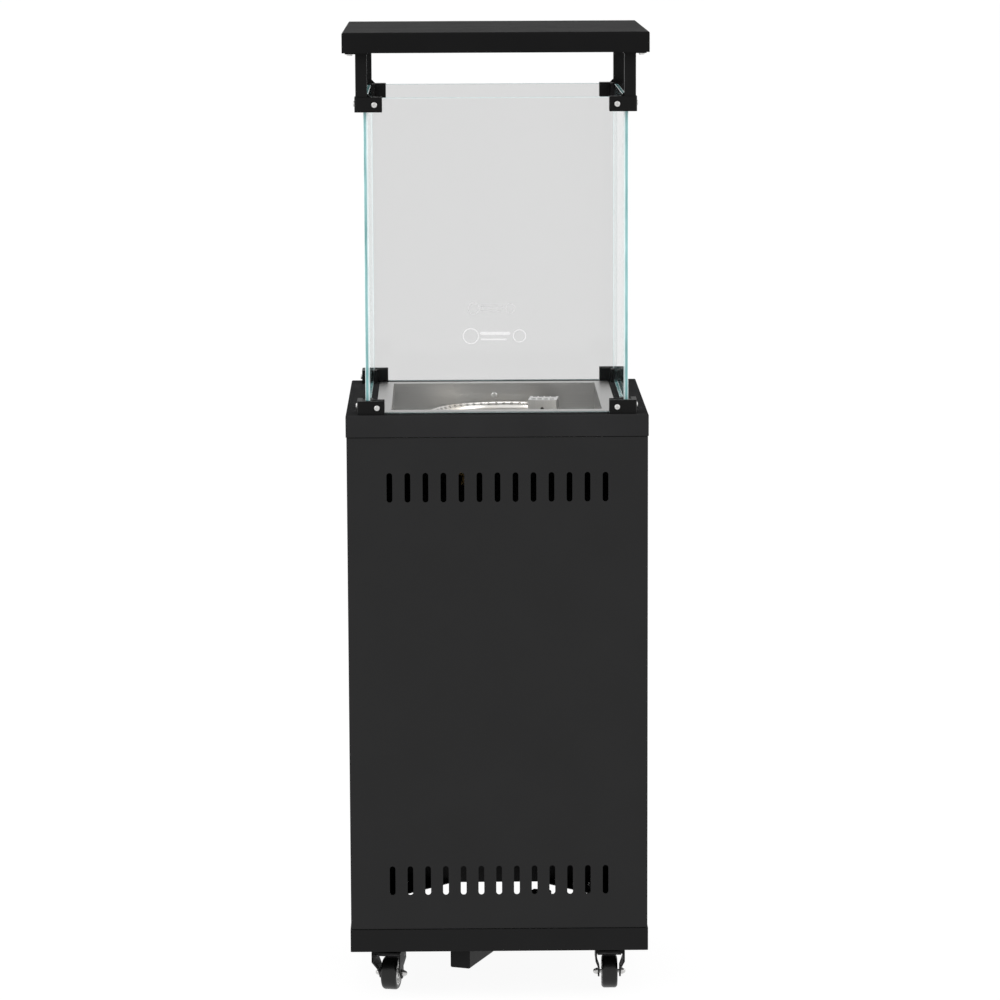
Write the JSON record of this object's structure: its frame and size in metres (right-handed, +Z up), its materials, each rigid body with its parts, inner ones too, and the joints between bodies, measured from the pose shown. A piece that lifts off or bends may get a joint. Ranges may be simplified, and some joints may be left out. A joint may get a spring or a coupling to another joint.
{
  "type": "outdoor gas heater",
  "caption": "Mobile outdoor gas heater: black steel cabinet on castors, stainless burner tray, square glass flame column and a flat hood.",
  "frame": {"origin": "on the floor under the middle of the cabinet", "axes": "+Z up; -Y is the plain front face, +Y the back with the door and controls, +X to the right seen from the front"},
  "size_m": [0.4, 0.4, 1.296],
  "materials": {
    "black_steel": "fine satin powder coat",
    "zinc_steel": "bright zinc plate",
    "black_plastic": "fine moulded texture",
    "tyre": "smooth black tread on a pale hub",
    "stainless": "fine brushed",
    "brass": "machined",
    "aluminium": "drawn tube",
    "ceramic": "glazed",
    "rubber": "matt silicone",
    "glass": "clear tempered, green-blue cut edges"
  },
  "bodies": {
    "cabinet": {"base_frame": "black_steel", "cylinder_tray": "black_steel", "support_bar": "black_steel", "front_panel": "black_steel", "left_panel": "black_steel", "right_panel": "black_steel", "rear_frame": "black_steel", "control_fascia": "black_steel", "lid": "black_steel", "lower_clamps": "black_steel", "upper_clamps": "black_steel", "inner_jaws": "black_steel", "hood_posts": "black_steel", "hood": "black_steel", "frame_hinges": "black_steel", "castor_plates": "zinc_steel", "castor_screws": "zinc_steel", "clamp_screws": "zinc_steel", "hood_screws": "zinc_steel", "tray_screws": "zinc_steel", "igniter_body": "black_plastic", "magnet_catch": "black_plastic", "tilt_switch": "black_plastic", "burner_tray": "stainless", "burner_ring": "stainless", "burner_saddles": "stainless", "pilot_shield": "stainless", "heat_deflector": "stainless", "thermocouple": "stainless", "gas_valve": "brass", "gas_inlet": "brass", "burner_injector": "brass", "pilot_burner": "brass", "gas_pipe": "aluminium", "ignition_electrode": "ceramic", "glass_pads": "rubber", "glass_front": "glass", "glass_rear": "glass", "glass_left": "glass", "glass_right": "glass"},
    "door": {"door": "black_steel", "door_pull": "black_plastic", "door_hinges": "black_steel"},
    "knob": {"control_knob": "black_plastic", "knob_spindle": "stainless"},
    "igniter_button": {"igniter_button": "black_plastic"},
    "castor_fork_front_left": {"castor_fork_front_left": "black_steel", "castor_axle_front_left": "zinc_steel"},
    "castor_wheel_front_left": {"castor_wheel_front_left": "tyre"},
    "brake_pedal_front_left": {"brake_pedal_front_left": "black_plastic"},
    "castor_fork_front_right": {"castor_fork_front_right": "black_steel", "castor_axle_front_right": "zinc_steel"},
    "castor_wheel_front_right": {"castor_wheel_front_right": "tyre"},
    "brake_pedal_front_right": {"brake_pedal_front_right": "black_plastic"},
    "castor_fork_rear_left": {"castor_fork_rear_left": "black_steel", "castor_axle_rear_left": "zinc_steel"},
    "castor_wheel_rear_left": {"castor_wheel_rear_left": "tyre"},
    "castor_fork_rear_right": {"castor_fork_rear_right": "black_steel", "castor_axle_rear_right": "zinc_steel"},
    "castor_wheel_rear_right": {"castor_wheel_rear_right": "tyre"}
  },
  "joints": [
    {"name": "door_swing", "type": "hinge", "parent": "cabinet", "child": "door", "pos_m": [-0.17, 0.1924, 0.376], "axis": [0, 0, 1], "range_deg": [0, 110]},
    {"name": "knob_turn", "type": "hinge", "parent": "cabinet", "child": "knob", "pos_m": [-0.045, 0.1645, 0.697], "axis": [0, 1, 0], "range_deg": [0, 240]},
    {"name": "igniter_press", "type": "slide", "parent": "cabinet", "child": "igniter_button", "axis": [0, -1, 0], "range_m": [0, 0.005], "stiffness_N_per_m": 600, "springref_m": -0.002},
    {"name": "swivel_front_left", "type": "hinge", "parent": "cabinet", "child": "castor_fork_front_left", "pos_m": [-0.15, -0.15, 0.058], "axis": [0, 0, 1], "continuous": true},
    {"name": "roll_front_left", "type": "hinge", "parent": "castor_fork_front_left", "child": "castor_wheel_front_left", "pos_m": [-0.14626, -0.13239, 0.0225], "axis": [0.9781, -0.2079, 0], "continuous": true},
    {"name": "brake_front_left", "type": "hinge", "parent": "castor_fork_front_left", "child": "brake_pedal_front_left", "pos_m": [-0.1475, -0.13826, 0.05], "axis": [-0.9781, 0.2079, 0], "range_deg": [0, 12]},
    {"name": "swivel_front_right", "type": "hinge", "parent": "cabinet", "child": "castor_fork_front_right", "pos_m": [0.15, -0.15, 0.058], "axis": [0, 0, 1], "continuous": true},
    {"name": "roll_front_right", "type": "hinge", "parent": "castor_fork_front_right", "child": "castor_wheel_front_right", "pos_m": [0.15, -0.132, 0.0225], "axis": [1, 0, 0], "continuous": true},
    {"name": "brake_front_right", "type": "hinge", "parent": "castor_fork_front_right", "child": "brake_pedal_front_right", "pos_m": [0.15, -0.138, 0.05], "axis": [-1, 0, 0], "range_deg": [0, 12]},
    {"name": "swivel_rear_left", "type": "hinge", "parent": "cabinet", "child": "castor_fork_rear_left", "pos_m": [-0.15, 0.15, 0.058], "axis": [0, 0, 1], "continuous": true},
    {"name": "roll_rear_left", "type": "hinge", "parent": "castor_fork_rear_left", "child": "castor_wheel_rear_left", "pos_m": [-0.15, 0.168, 0.0225], "axis": [1, 0, 0], "continuous": true},
    {"name": "swivel_rear_right", "type": "hinge", "parent": "cabinet", "child": "castor_fork_rear_right", "pos_m": [0.15, 0.15, 0.058], "axis": [0, 0, 1], "continuous": true},
    {"name": "roll_rear_right", "type": "hinge", "parent": "castor_fork_rear_right", "child": "castor_wheel_rear_right", "pos_m": [0.15, 0.168, 0.0225], "axis": [1, 0, 0], "continuous": true}
  ]
}
